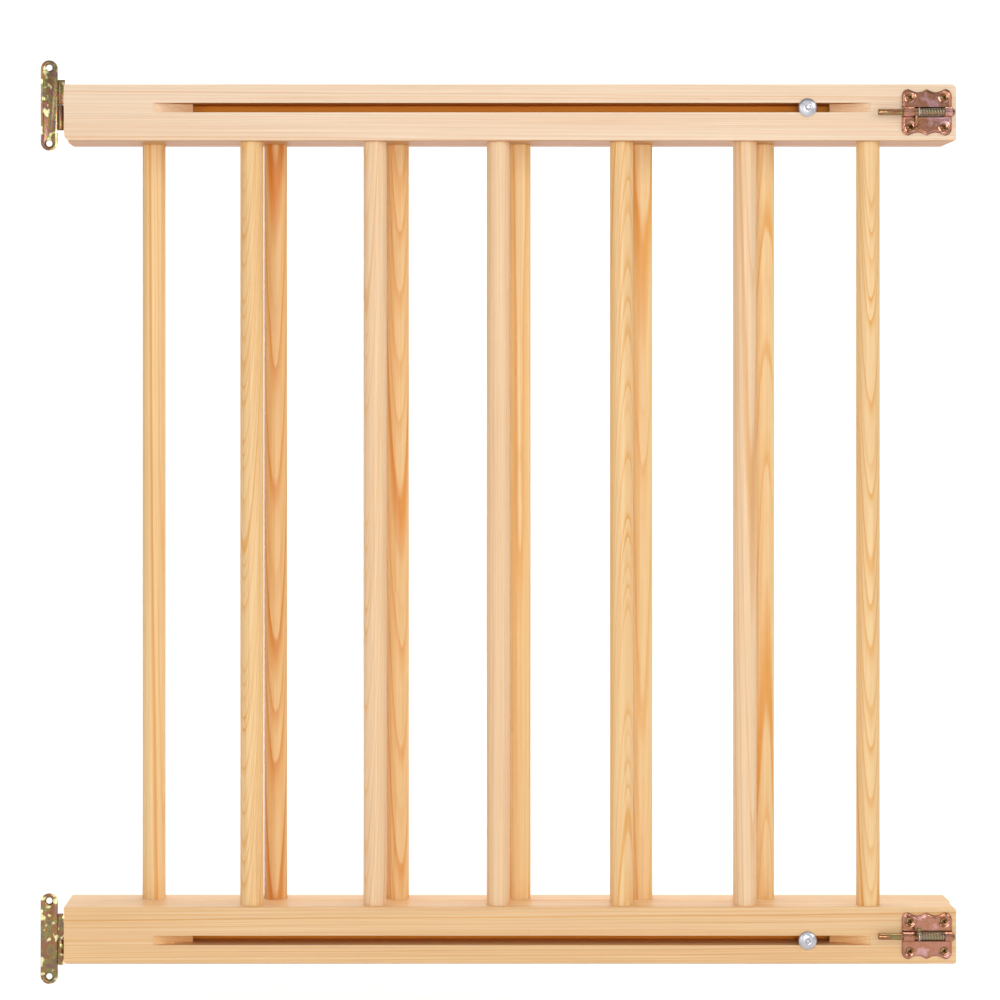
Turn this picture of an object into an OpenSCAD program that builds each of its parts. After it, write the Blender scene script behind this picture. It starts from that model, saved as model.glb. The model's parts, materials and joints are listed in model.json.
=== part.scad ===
// Safety gate for a doorway or stair, made of two overlapping pine bar panels.
// The rear panel hangs on two lift-off hinges at the left, the front panel slides
// on it to set the width, and two spring bolts at the right lock the gate.
// X runs along the width, Y from the front to the back, Z up. The origin is the
// middle of the lower wall plate's hole line, on the plate's back face.

/* [Panels] */
// Width of each panel
panel_w = 720; // [600:5:900]
// Height of each panel
panel_h = 710; // [600:5:900]
// Height of a rail's front face
rail_h = 46; // [40:1:60]
// Thickness of a rail
rail_t = 25; // [22:0.5:32]
// Gap between the two panels
panel_gap = 0.5; // [0.3:0.1:2]
// Rounding along a rail's long edges
rail_edge_r = 1.5; // [0.5:0.5:4]
// Corner radii of the front upper rail: top left, top right, bottom right, bottom left
front_upper_corners = [1.5, 4.5, 2.5, 6]; // [0.5:0.5:12]
// Corner radii of the front lower rail, in the same order
front_lower_corners = [1, 4, 2.5, 2.5]; // [0.5:0.5:12]
// Corner radii of the rear upper rail, in the same order
rear_upper_corners = [2, 2, 3, 2.5]; // [0.5:0.5:12]
// Corner radii of the rear lower rail, in the same order
rear_lower_corners = [1, 1, 2.5, 2]; // [0.5:0.5:12]

/* [Bars] */
// Bars in each panel
bar_n = 6; // [3:1:6]
// Diameter of a bar
bar_d = 19; // [16:1:24]
// Distance from one bar to the next
bar_pitch = 100; // [70:1:110]
// From the slotted end of a panel to its nearest bar
bar_first = 151; // [120:1:160]
// Depth that a bar sits in its rail
bar_seat = 16; // [10:1:18]

/* [Width adjustment] */
// Height of the slot in a front rail
slot_h = 7.7; // [7:0.1:10]
// Slot centre beyond the rail's middle, away from the bars
slot_shift = 4; // [0:0.5:6]
// Radius of the disc cutter that made the slot
cutter_r = 66; // [50:1:80]
// Depth that the cutter reached below each face
cutter_depth = 13; // [12.6:0.1:20]
// Left and right cutter centres, from the rail's left end
cutter_x = [111.2, 611.8]; // [100:0.1:800]
// Distance of the clamp bolt from the rails' left end
clamp_x = 600; // [400:1:700]
// Thread diameter of the clamp bolt
clamp_d = 6; // [5:1:7]
// Diameter of the clamp bolt's domed head
clamp_head_d = 15; // [12:0.5:18]

/* [Hinges] */
// Length of a wall plate
wall_plate_l = 74; // [60:1:90]
// Width of a wall plate
wall_plate_w = 14; // [12:0.5:20]
// Thickness of the hinge sheet
leaf_t = 1.5; // [1:0.1:2]
// Distance between a wall plate's two holes
wall_hole_pitch = 62; // [45:1:75]
// Diameter of a wall plate's holes
wall_hole_d = 5; // [4:0.1:6]
// Outer diameter of a hinge barrel
barrel_d = 5.2; // [5:0.1:7]
// Length of a hinge barrel
barrel_l = 41; // [30:1:50]
// Diameter of a hinge pin
pin_d = 3; // [2.5:0.1:3.4]
// Hinge centre beyond the rail's middle, away from the bars
hinge_shift = 9; // [0:0.5:9]
// Hinge axis to the rails' left end
hinge_reach = 6.3; // [5:0.1:9]
// Depth of the hinge axis behind the front face
hinge_depth = 28; // [27.5:0.5:40]

/* [Latches] */
// Width of a latch plate
latch_w = 40; // [36:1:50]
// Height of a latch plate
latch_h = 37.4; // [34:0.2:40]
// Latch plate's right edge to the rail's right end
latch_inset = 4; // [2:0.5:10]
// Thickness of the latch sheet
latch_t = 1.2; // [0.8:0.1:1.5]
// Diameter of the sliding bolt
rod_d = 5; // [4:0.1:6]
// Length of the sliding bolt
rod_l = 61.7; // [50:0.1:70]
// Rail's right end to the sliding bolt's tip
rod_inset = 2; // [0:0.5:6]
// Height of the bolt's axis above the rail's face
rod_rise = 4; // [3.6:0.1:5]
// Turn of the lower handle above straight out
lower_handle_up = 38; // [-90:1:90]

/* [Hidden] */
$fn = 64;
eps = 0.02;
running = 0.05;
snug = 0.02;

// Places along X
rail_x0 = wall_plate_w / 2 + 9;
rail_x1 = rail_x0 + panel_w;
hinge_x = rail_x0 - hinge_reach;
front_bar_x = rail_x0 + bar_first;
rear_bar_x = rail_x1 - bar_first - (bar_n - 1) * bar_pitch;
bolt_x = rail_x0 + clamp_x;
latch_x1 = rail_x1 - latch_inset;
latch_x0 = latch_x1 - latch_w;

// Places along Y: the wall plates' back is at 0, tangent to the barrels
hinge_y = -barrel_d / 2;
front_y0 = hinge_y - hinge_depth;
front_y1 = front_y0 + rail_t;
rear_y0 = front_y1 + panel_gap;
rear_y1 = rear_y0 + rail_t;

// Places along Z
lower_rail_z = hinge_shift;
panel_z0 = lower_rail_z - rail_h / 2;
upper_rail_z = panel_z0 + panel_h - rail_h / 2;
upper_hinge_z = upper_rail_z + hinge_shift;
bar_z0 = lower_rail_z + rail_h / 2 - bar_seat;
bar_l = panel_h - 2 * rail_h + 2 * bar_seat;

// Clamp bolt, drive-in nut and screws
head_rim = 0.8;
head_dome = 2.8;
head_gap = 0.1;
socket_af = 4;
socket_depth = 2.2;
bolt_l = 47;
nut_flange_d = 19;
nut_flange_t = 1.5;
nut_barrel_d = 8;
nut_barrel_l = 9;
screw_d = 3.5;
screw_head_d = 6;
screw_cross_w = 0.9;
leaf_screw_l = 20;
latch_screw_l = 12;

// Gate leaf of a hinge
gate_leaf_w = 21;
gate_leaf_h = 26;
leaf_screw_pitch = 15;
leaf_screw_y = hinge_y + 9;
knuckle_gap = 0.3;
knuckle_chamfer = 0.8;

// Latch plate and what slides in it
channel_wall = 1.3;
rod_slack = 0.08;
window = [9.2, 33.4];
screw_grid = [27.5, 24];
lobe_r = 5.4;
scallop_x = 7.2;
scallop_rise = 2.6;
stem_d = 3;
stem_x = latch_x0 + window[0] + 1.8;
knob_d = 5;
knob_reach = 13.2;
washer_t = 0.8;
washer_d = 7;
washer_x = stem_x + stem_d / 2 + 0.1;
spring_x0 = washer_x + washer_t;
spring_x1 = latch_x0 + window[1];
spring_wire = 0.65;
spring_turns = 9;
rod_x1 = rail_x1 - rod_inset;
rod_y = front_y0 - rod_rise;

PINE_FACE = "#ecd0a4";
PINE_REAR = "#d9a968";
PINE_BAR = "#f0d8ac";
PINE_REAR_BAR = "#dcae6c";
GILT = "#c9a24e";
COPPER = "#b9785c";
ZINC = "#c9ccd0";
SPRING = "#9aa08c";

// ---- shared shapes ----

// What a rounded corner takes off a square one, with the corner at the origin.
module corner_waste(r) {
    difference() {
        translate([-eps, -eps]) square(r + eps);
        translate([r, r]) circle(r);
    }
}

// A w by h rectangle with its own radius at each corner: tl, tr, br, bl.
module cornered(w, h, r) {
    difference() {
        square([w, h]);
        translate([0, h]) mirror([0, 1]) corner_waste(r[0]);
        translate([w, h]) mirror([1, 0]) mirror([0, 1]) corner_waste(r[1]);
        translate([w, 0]) mirror([1, 0]) corner_waste(r[2]);
        corner_waste(r[3]);
    }
}

// Turns a shape drawn in XY and raised along Z so that it lies in XZ and runs along +Y.
module along_y() {
    rotate([90, 0, 0]) mirror([0, 0, 1]) children();
}

module along_x() {
    rotate([90, 0, 90]) children();
}

// A rod along Z from the origin, with a chamfer at both ends.
module chamfered_rod(r, l, c) {
    rotate_extrude()
        polygon([[0, 0], [r - c, 0], [r, c], [r, l - c], [r - c, l], [0, l]]);
}

// A countersunk wood screw with its head's top at the origin, pointing to -Z.
module wood_screw(l) {
    head_h = (screw_head_d - screw_d) / 2;
    difference() {
        union() {
            translate([0, 0, -head_h])
                cylinder(d1 = screw_d, d2 = screw_head_d, h = head_h);
            translate([0, 0, 2 - l]) cylinder(d = screw_d, h = l - 2 - head_h + eps);
            translate([0, 0, -l]) cylinder(d1 = 0.6, d2 = screw_d, h = 2);
        }
        for (a = [0, 90])
            rotate(a) cube([screw_head_d * 0.6, screw_cross_w, 2], center = true);
    }
}

// The hole that a wood screw fills in the wood below its plate.
module screw_hole(l) {
    translate([0, 0, -l - snug]) cylinder(d = screw_d + 2 * snug, h = l + snug);
}

// ---- rails and bars ----

module rail_blank(y0, z_mid, corners) {
    translate([rail_x0, y0, z_mid - rail_h / 2])
        intersection() {
            along_y() linear_extrude(rail_t) cornered(panel_w, rail_h, corners);
            along_x() linear_extrude(panel_w)
                cornered(rail_t, rail_h, [for (i = [0:3]) rail_edge_r]);
        }
}

// Blind holes for the bars: side is 1 where the bars enter a rail from above.
module bar_holes(first_x, y_mid, z_mid, side) {
    for (i = [0:bar_n - 1])
        translate([first_x + i * bar_pitch, y_mid, z_mid + side * rail_h / 2])
            cylinder(d = bar_d + 2 * snug, h = 2 * bar_seat + 1, center = true);
}

// A disc cutter went past the middle from each face, and left a run-out at each end.
module cutter_slot(z_mid) {
    cutter_y = cutter_depth - rail_t / 2 - cutter_r;
    translate([rail_x0, front_y0 + rail_t / 2, z_mid - slot_h / 2])
        linear_extrude(slot_h)
            for (m = [0, 1])
                mirror([0, m]) translate([0, cutter_y]) {
                    for (x = cutter_x)
                        translate([x, 0]) circle(r = cutter_r, $fn = 180);
                    translate([cutter_x[0], 0])
                        square([cutter_x[1] - cutter_x[0], cutter_r]);
                }
}

module latch_screw_holes(z_mid) {
    latch_screw_places(z_mid) screw_hole(latch_screw_l - latch_t);
}

// side is 1 for the lower rail and -1 for the upper one, towards the bars.
module front_rail(z_mid, side, corners, shade) {
    color(shade)
        difference() {
            rail_blank(front_y0, z_mid, corners);
            bar_holes(front_bar_x, front_y0 + rail_t / 2, z_mid, side);
            cutter_slot(z_mid - side * slot_shift);
            latch_screw_holes(z_mid);
        }
}

module rear_rail(z_mid, side, corners, shade) {
    nut_y = rear_y1 - nut_flange_t;
    color(shade)
        difference() {
            rail_blank(rear_y0, z_mid, corners);
            bar_holes(rear_bar_x, rear_y0 + rail_t / 2, z_mid, side);
            translate([bolt_x, rear_y0 - 1, z_mid - side * slot_shift])
                along_y() cylinder(d = clamp_d + 1, h = rail_t);
            translate([bolt_x, nut_y - nut_barrel_l - snug, z_mid - side * slot_shift])
                along_y() cylinder(d = nut_barrel_d + 2 * snug, h = nut_barrel_l + 1);
            translate([bolt_x, nut_y - snug, z_mid - side * slot_shift])
                along_y() cylinder(d = nut_flange_d + 0.2, h = nut_flange_t + 1);
            leaf_screw_places(z_mid - side * hinge_shift)
                screw_hole(leaf_screw_l - leaf_t);
        }
}

module bar(x, y_mid, shade) {
    color(shade)
        translate([x, y_mid, bar_z0]) chamfered_rod(bar_d / 2, bar_l, 1);
}

module front_bar(i) {
    bar(front_bar_x + (i - 1) * bar_pitch, front_y0 + rail_t / 2, PINE_BAR);
}

module rear_bar(i) {
    bar(rear_bar_x + (i - 1) * bar_pitch, rear_y0 + rail_t / 2, PINE_REAR_BAR);
}

// ---- hinges ----

// One knuckle of a barrel, upwards from its lower end, with its pin's hole.
module knuckle(l, hole_d) {
    difference() {
        chamfered_rod(barrel_d / 2, l, knuckle_chamfer);
        translate([0, 0, -1]) cylinder(d = hole_d, h = l + 2);
    }
}

module wall_leaf(z) {
    l = (barrel_l - knuckle_gap) / 2;
    end_r = wall_plate_w / 2;
    straight = wall_plate_l - wall_plate_w;
    color(GILT)
        translate([0, 0, z]) {
            difference() {
                union() {
                    translate([0, -leaf_t, 0])
                        along_y() linear_extrude(leaf_t) {
                            square([wall_plate_w, straight], center = true);
                            for (s = [-1, 1])
                                translate([0, s * straight / 2]) circle(r = end_r);
                        }
                    translate([0, -leaf_t, -barrel_l / 2 + knuckle_chamfer])
                        cube([hinge_x, leaf_t, l - 2 * knuckle_chamfer]);
                    translate([hinge_x, hinge_y, -barrel_l / 2])
                        chamfered_rod(barrel_d / 2, l, knuckle_chamfer);
                }
                translate([hinge_x, hinge_y, -barrel_l / 2 - 1])
                    cylinder(d = pin_d, h = barrel_l);
                for (s = [-1, 1])
                    translate([0, 0, s * wall_hole_pitch / 2]) {
                        translate([0, -leaf_t - 1, 0])
                            along_y() cylinder(d = wall_hole_d, h = leaf_t + 2);
                        translate([0, -leaf_t - eps, 0])
                            along_y() cylinder(d1 = wall_hole_d + 3, d2 = wall_hole_d, h = 1);
                    }
            }
        }
}

module hinge_pin(z) {
    color(ZINC)
        translate([hinge_x, hinge_y, z - barrel_l / 2 + 0.5])
            cylinder(d = pin_d, h = barrel_l - 1);
}

module leaf_screw_places(z) {
    for (s = [-1, 1])
        translate([rail_x0, leaf_screw_y, z + s * leaf_screw_pitch / 2])
            rotate([0, -90, 0]) children();
}

module gate_leaf(z) {
    l = (barrel_l - knuckle_gap) / 2;
    web_h = gate_leaf_h / 2 - knuckle_gap - knuckle_chamfer;
    color(GILT)
        difference() {
            union() {
                translate([hinge_x, hinge_y, z + knuckle_gap / 2])
                    knuckle(l, pin_d + 2 * running);
                translate([rail_x0 - leaf_t, hinge_y - barrel_d / 2, z - gate_leaf_h / 2])
                    cube([leaf_t, gate_leaf_w, gate_leaf_h]);
                difference() {
                    translate([hinge_x, hinge_y - barrel_d / 2, z + knuckle_gap + knuckle_chamfer])
                        cube([hinge_reach, leaf_t, web_h]);
                    translate([hinge_x, hinge_y, z])
                        cylinder(d = barrel_d - 0.2, h = barrel_l);
                }
            }
            leaf_screw_places(z)
                translate([0, 0, -eps])
                    cylinder(d1 = screw_d + 2 * snug, d2 = screw_head_d + 3 * snug,
                        h = leaf_t + 2 * eps);
        }
}

module leaf_screws(z) {
    color(GILT) leaf_screw_places(z) translate([0, 0, leaf_t]) wood_screw(leaf_screw_l);
}

// ---- width clamps ----

module clamp_bolt(z) {
    dome_r = (pow(clamp_head_d / 2, 2) + pow(head_dome, 2)) / (2 * head_dome);
    head_h = head_rim + head_dome;
    color(ZINC)
        translate([bolt_x, front_y0 - head_gap, z])
            difference() {
                union() {
                    translate([0, -head_h, 0])
                        along_y()
                            intersection() {
                                cylinder(d = clamp_head_d, h = head_h);
                                translate([0, 0, dome_r]) sphere(r = dome_r);
                            }
                    translate([0, -eps, 0]) along_y() cylinder(d = clamp_d, h = bolt_l);
                }
                translate([0, -head_h - 1, 0])
                    along_y() cylinder(d = socket_af / cos(30), h = socket_depth + 1, $fn = 6);
            }
}

module clamp_nut(z) {
    color(ZINC)
        translate([bolt_x, rear_y1, z])
            difference() {
                union() {
                    translate([0, -nut_flange_t, 0])
                        along_y() cylinder(d = nut_flange_d, h = nut_flange_t);
                    translate([0, -nut_flange_t - nut_barrel_l, 0])
                        along_y() cylinder(d = nut_barrel_d, h = nut_barrel_l + eps);
                }
                translate([0, -20, 0])
                    along_y() cylinder(d = clamp_d + 2 * running, h = 30);
            }
}

// ---- latches ----

// The plate's top edge rises to a lobe at each corner and to a peak in the middle.
function edge_z(x) =
    latch_h / 2 - scallop_rise
    + scallop_rise * pow(abs(abs(x) - scallop_x) / (latch_w / 2 - lobe_r - scallop_x), 1.6);

// Lobed upper half of the outline, from its right side to its left side.
function upper_outline() = concat(
    [for (a = [0:10:90])
        [latch_w / 2 - lobe_r + lobe_r * cos(a), latch_h / 2 - lobe_r + lobe_r * sin(a)]],
    [for (x = [13.5:-0.75:-13.5]) [x, edge_z(x)]],
    [for (a = [90:10:180])
        [lobe_r - latch_w / 2 + lobe_r * cos(a), latch_h / 2 - lobe_r + lobe_r * sin(a)]]
);

// The lower half is the upper one turned half a turn.
module latch_outline() {
    polygon(concat(upper_outline(), [for (p = upper_outline()) -p]));
}

module latch_screw_places(z) {
    for (sx = [-1, 1], sz = [-1, 1])
        translate([
            latch_x0 + latch_w / 2 + sx * screw_grid[0] / 2,
            front_y0,
            z + sz * screw_grid[1] / 2
        ])
            rotate([90, 0, 0]) children();
}

module latch_plate(z) {
    bore_r = rod_d / 2 + rod_slack;
    channel_r = bore_r + channel_wall;
    color(COPPER)
        difference() {
            union() {
                translate([latch_x0 + latch_w / 2, front_y0 - latch_t, z])
                    along_y() linear_extrude(latch_t) latch_outline();
                translate([latch_x0, rod_y, z])
                    rotate([0, 90, 0]) cylinder(r = channel_r, h = latch_w);
                translate([latch_x0, rod_y, z - channel_r])
                    cube([latch_w, rod_rise, 2 * channel_r]);
            }
            translate([latch_x0 - 1, rod_y, z])
                rotate([0, 90, 0]) cylinder(r = bore_r, h = latch_w + 2);
            translate([latch_x0 - 1, rod_y, z - bore_r])
                cube([latch_w + 2, rod_rise + 1, 2 * bore_r]);
            translate([latch_x0 + window[0], rod_y - 10, z - channel_r - 0.2])
                cube([window[1] - window[0], 30, 2 * channel_r + 0.4]);
            // the channel's round back would otherwise reach into the rail
            translate([latch_x0 - 1, front_y0, z - 10]) cube([latch_w + 2, 10, 20]);
            latch_screw_places(z)
                translate([0, 0, -eps])
                    cylinder(d1 = screw_d + 2 * snug, d2 = screw_head_d + 3 * snug,
                        h = latch_t + 2 * eps);
        }
}

module latch_screws(z) {
    color(GILT)
        latch_screw_places(z) translate([0, 0, latch_t]) wood_screw(latch_screw_l);
}

// Children point along -Z from the rod's axis; up turns them from there past the front.
module handle_place(z, up) {
    translate([stem_x, rod_y, z]) rotate([-90 - up, 0, 0]) children();
}

module latch_rod(z, up) {
    color(GILT)
        difference() {
            translate([rod_x1 - rod_l, rod_y, z])
                rotate([0, 90, 0]) chamfered_rod(rod_d / 2, rod_l, 0.5);
            handle_place(z, up)
                translate([0, 0, -rod_d]) cylinder(d = stem_d + 2 * snug, h = rod_d + snug);
        }
}

module latch_handle(z, up) {
    color(GILT)
        handle_place(z, up) {
            translate([0, 0, -knob_reach]) cylinder(d = stem_d, h = knob_reach);
            translate([0, 0, -knob_reach]) sphere(d = knob_d);
        }
}

module latch_washer(z) {
    color(ZINC)
        translate([washer_x, rod_y, z])
            rotate([0, 90, 0])
                difference() {
                    cylinder(d = washer_d, h = washer_t);
                    translate([0, 0, -1]) cylinder(d = rod_d + 2 * running, h = washer_t + 2);
                }
}

// A coil spring along +X from the origin: a ring of wire points at each step, skinned.
module coil(r, wire, l, turns) {
    sides = 6;
    steps = 18 * turns;
    rise = l - wire;
    rings = [for (i = [0:steps]) let (a = i * 360 / 18)
        [for (k = [0:sides - 1]) let (
            b = k * 360 / sides,
            out = r + wire / 2 * cos(b),
            x = wire / 2 + rise * i / steps + wire / 2 * sin(b)
        ) [x, out * cos(a), out * sin(a)]]];
    faces = concat(
        [[for (k = [0:sides - 1]) k]],
        [for (i = [0:steps - 1], k = [0:sides - 1]) let (
            a = i * sides + k,
            b = i * sides + (k + 1) % sides
        ) [a, a + sides, b + sides, b]],
        [[for (k = [sides - 1:-1:0]) steps * sides + k]]
    );
    polyhedron(points = [for (ring = rings) each ring], faces = faces, convexity = 10);
}

module latch_spring(z) {
    color(SPRING)
        translate([spring_x0, rod_y, z])
            coil(rod_d / 2 + 0.15 + spring_wire / 2, spring_wire,
                spring_x1 - spring_x0, spring_turns);
}

// ---- the sub-parts ----

upper_slot_z = upper_rail_z + slot_shift;
lower_slot_z = lower_rail_z - slot_shift;
upper_handle_up = -90;

front_rail(upper_rail_z, -1, front_upper_corners, PINE_FACE);  // front_upper_rail
front_rail(lower_rail_z, 1, front_lower_corners, PINE_FACE);  // front_lower_rail
rear_rail(upper_rail_z, -1, rear_upper_corners, PINE_REAR);  // rear_upper_rail
rear_rail(lower_rail_z, 1, rear_lower_corners, PINE_REAR);  // rear_lower_rail
for (i = [1:bar_n]) {
    front_bar(i);
    rear_bar(i);
}
wall_leaf(upper_hinge_z);  // upper_wall_leaf
wall_leaf(0);  // lower_wall_leaf
hinge_pin(upper_hinge_z);  // upper_hinge_pin
hinge_pin(0);  // lower_hinge_pin
gate_leaf(upper_hinge_z);  // upper_gate_leaf
gate_leaf(0);  // lower_gate_leaf
leaf_screws(upper_hinge_z);  // upper_leaf_screws
leaf_screws(0);  // lower_leaf_screws
clamp_bolt(upper_slot_z);  // upper_clamp_bolt
clamp_bolt(lower_slot_z);  // lower_clamp_bolt
clamp_nut(upper_slot_z);  // upper_clamp_nut
clamp_nut(lower_slot_z);  // lower_clamp_nut
latch_plate(upper_rail_z);  // upper_latch_plate
latch_plate(lower_rail_z);  // lower_latch_plate
latch_screws(upper_rail_z);  // upper_latch_screws
latch_screws(lower_rail_z);  // lower_latch_screws
latch_rod(upper_rail_z, upper_handle_up);  // upper_latch_rod
latch_rod(lower_rail_z, lower_handle_up);  // lower_latch_rod
latch_handle(upper_rail_z, upper_handle_up);  // upper_latch_handle
latch_handle(lower_rail_z, lower_handle_up);  // lower_latch_handle
latch_washer(upper_rail_z);  // upper_latch_washer
latch_washer(lower_rail_z);  // lower_latch_washer
latch_spring(upper_rail_z);  // upper_latch_spring
latch_spring(lower_rail_z);  // lower_latch_spring
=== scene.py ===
"""Looks of the wooden safety gate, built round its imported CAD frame. Lengths are in metres."""

import json
import math

import bmesh
import bpy
from mathutils import Matrix, Vector

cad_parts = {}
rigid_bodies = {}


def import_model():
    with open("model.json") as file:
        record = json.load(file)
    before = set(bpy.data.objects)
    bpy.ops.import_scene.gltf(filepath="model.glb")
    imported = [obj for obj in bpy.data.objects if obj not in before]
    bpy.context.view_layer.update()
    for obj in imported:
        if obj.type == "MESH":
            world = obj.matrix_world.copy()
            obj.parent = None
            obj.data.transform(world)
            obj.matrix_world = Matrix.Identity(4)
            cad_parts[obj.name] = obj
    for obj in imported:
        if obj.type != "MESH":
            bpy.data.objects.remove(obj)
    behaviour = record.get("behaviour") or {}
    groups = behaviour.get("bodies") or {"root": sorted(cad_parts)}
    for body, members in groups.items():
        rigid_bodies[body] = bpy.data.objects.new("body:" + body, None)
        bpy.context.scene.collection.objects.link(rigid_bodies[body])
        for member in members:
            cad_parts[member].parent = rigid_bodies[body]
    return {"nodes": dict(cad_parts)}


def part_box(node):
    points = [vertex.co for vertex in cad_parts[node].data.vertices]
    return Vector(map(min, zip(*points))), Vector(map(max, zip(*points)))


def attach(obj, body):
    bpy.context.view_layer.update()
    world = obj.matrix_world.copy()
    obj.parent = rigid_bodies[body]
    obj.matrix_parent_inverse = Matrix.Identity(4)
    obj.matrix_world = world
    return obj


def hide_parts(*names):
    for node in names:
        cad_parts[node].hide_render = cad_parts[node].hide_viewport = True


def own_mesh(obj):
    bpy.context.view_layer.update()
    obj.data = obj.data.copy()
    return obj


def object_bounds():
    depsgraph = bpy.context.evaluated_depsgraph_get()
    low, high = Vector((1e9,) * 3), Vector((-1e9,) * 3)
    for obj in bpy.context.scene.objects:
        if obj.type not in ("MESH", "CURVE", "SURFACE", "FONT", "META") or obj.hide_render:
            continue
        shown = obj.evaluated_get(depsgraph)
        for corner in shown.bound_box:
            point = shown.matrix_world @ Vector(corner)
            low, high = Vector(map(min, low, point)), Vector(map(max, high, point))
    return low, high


for leftover in list(bpy.data.objects):  # the start-up cube, lamp and camera
    bpy.data.objects.remove(leftover)
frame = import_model()
cad_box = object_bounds()

MM = 0.001
SIDES = ("upper", "lower")
BARS = range(1, 7)


# ---------------------------------------------------------------- mesh helpers

def mesh_object(name, verts, faces):
    """A linked object with a clean mesh and outward faces."""
    mesh = bpy.data.meshes.new(name)
    bm = bmesh.new()
    points = [bm.verts.new(v) for v in verts]
    for face in faces:
        bm.faces.new([points[i] for i in face])
    bmesh.ops.remove_doubles(bm, verts=bm.verts, dist=1e-7)
    bmesh.ops.recalc_face_normals(bm, faces=bm.faces)
    bm.to_mesh(mesh)
    bm.free()
    obj = bpy.data.objects.new(name, mesh)
    bpy.context.scene.collection.objects.link(obj)
    return obj


def bake_modifiers(obj):
    """Applies an object's modifiers to its mesh."""
    graph = bpy.context.evaluated_depsgraph_get()
    graph.update()
    made = bpy.data.meshes.new_from_object(obj.evaluated_get(graph))
    obj.modifiers.clear()
    old, obj.data = obj.data, made
    bpy.data.meshes.remove(old)
    return obj


def combine(obj, tools, operation):
    """Cuts tools from obj, or joins them to it, and deletes them."""
    for tool in tools:
        mod = obj.modifiers.new("combine", "BOOLEAN")
        mod.operation, mod.object, mod.solver = operation, tool, "EXACT"
    bake_modifiers(obj)
    for tool in tools:
        bpy.data.objects.remove(tool)
    return obj


def soften(obj, width, segments=2, angle=35):
    """Rounds a piece's sharp edges."""
    mod = obj.modifiers.new("soften", "BEVEL")
    mod.width, mod.segments, mod.limit_method = width, segments, "ANGLE"
    mod.angle_limit = math.radians(angle)
    return bake_modifiers(obj)


def finish_piece(obj, material, body, nodes, sharp=32):
    """Shades a piece, fixes it to its body and hides the CAD nodes that it stands for."""
    obj.data.shade_smooth()
    obj.data.set_sharp_from_angle(angle=math.radians(sharp))
    obj.data.materials.clear()
    obj.data.materials.append(material)
    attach(obj, body)
    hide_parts(*nodes)
    return obj


def placed(origin, z_axis, x_axis):
    """Matrix from a piece's own axes, in millimetres, to the frame, in metres."""
    z = Vector(z_axis).normalized()
    x = Vector(x_axis).normalized()
    y = z.cross(x)
    turn = Matrix((x, y, z)).transposed().to_4x4()
    return Matrix.Translation(origin) @ turn @ Matrix.Scale(MM, 4)


def turned(rings, sides=48):
    """Verts and faces of a shape turned about Z, from rings of (z, r). An r may also be a
    function of the angle, and an r of 0 is a single point."""
    verts, faces, rows = [], [], []
    for z, r in rings:
        if r == 0:
            rows.append([len(verts)])
            verts.append((0, 0, z))
            continue
        rows.append(list(range(len(verts), len(verts) + sides)))
        for k in range(sides):
            a = 2 * math.pi * k / sides
            radius = r(a) if callable(r) else r
            verts.append((radius * math.cos(a), radius * math.sin(a), z))
    for low, high in zip(rows, rows[1:]):
        for k in range(sides):
            a, b = low[k % len(low)], low[(k + 1) % len(low)]
            c, d = high[(k + 1) % len(high)], high[k % len(high)]
            face = list(dict.fromkeys((a, b, c, d)))
            if len(face) > 2:
                faces.append(face)
    return verts, faces


def turned_object(name, rings, where, sides=48):
    """A turned shape with its own Z axis placed by a matrix."""
    verts, faces = turned(rings, sides)
    return mesh_object(name, [where @ Vector(v) for v in verts], faces)


def prism(name, outline, low, high, where):
    """A closed outline of (x, y) points raised from z = low to z = high."""
    n = len(outline)
    verts = [where @ Vector((x, y, z)) for z in (low, high) for x, y in outline]
    faces = [list(range(n))[::-1], list(range(n, 2 * n))]
    faces += [[k, (k + 1) % n, n + (k + 1) % n, n + k] for k in range(n)]
    return mesh_object(name, verts, faces)


def arc(cx, cy, r, start, end, steps):
    """Points on a circle from one angle to another, in degrees."""
    turns = [math.radians(start + (end - start) * k / steps) for k in range(steps + 1)]
    return [(cx + r * math.cos(a), cy + r * math.sin(a)) for a in turns]


def ribbon(path, thickness):
    """The closed outline of a sheet seen edge on, along a centre line."""
    left, right = [], []
    for k, (x, y) in enumerate(path):
        x0, y0 = path[max(k - 1, 0)]
        x1, y1 = path[min(k + 1, len(path) - 1)]
        size = math.hypot(x1 - x0, y1 - y0)
        nx, ny = -(y1 - y0) / size, (x1 - x0) / size
        left.append((x + nx * thickness / 2, y + ny * thickness / 2))
        right.append((x - nx * thickness / 2, y - ny * thickness / 2))
    return left + right[::-1]


def join(name, parts):
    """One object from several, in the order given."""
    bm = bmesh.new()
    for part in parts:
        bm.from_mesh(part.data)
        bpy.data.objects.remove(part)
    mesh = bpy.data.meshes.new(name)
    bm.to_mesh(mesh)
    bm.free()
    obj = bpy.data.objects.new(name, mesh)
    bpy.context.scene.collection.objects.link(obj)
    return obj


def smooth_step(x):
    """0 up to 0, 1 from 1 on, with a smooth change between."""
    x = min(max(x, 0), 1)
    return x * x * (3 - 2 * x)


# ---------------------------------------------------------------- node helpers

def add(tree, kind, links=None, **values):
    """A shader node with its properties set and its inputs linked or given a value."""
    node = tree.nodes.new(kind)
    for name, value in values.items():
        setattr(node, name, value)
    for key, value in (links or {}).items():
        if isinstance(value, bpy.types.NodeSocket):
            tree.links.new(value, node.inputs[key])
        else:
            node.inputs[key].default_value = value
    return node


def calc(tree, operation, *values):
    """The result of a Math node."""
    return add(tree, "ShaderNodeMath", dict(enumerate(values)), operation=operation).outputs[0]


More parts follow.
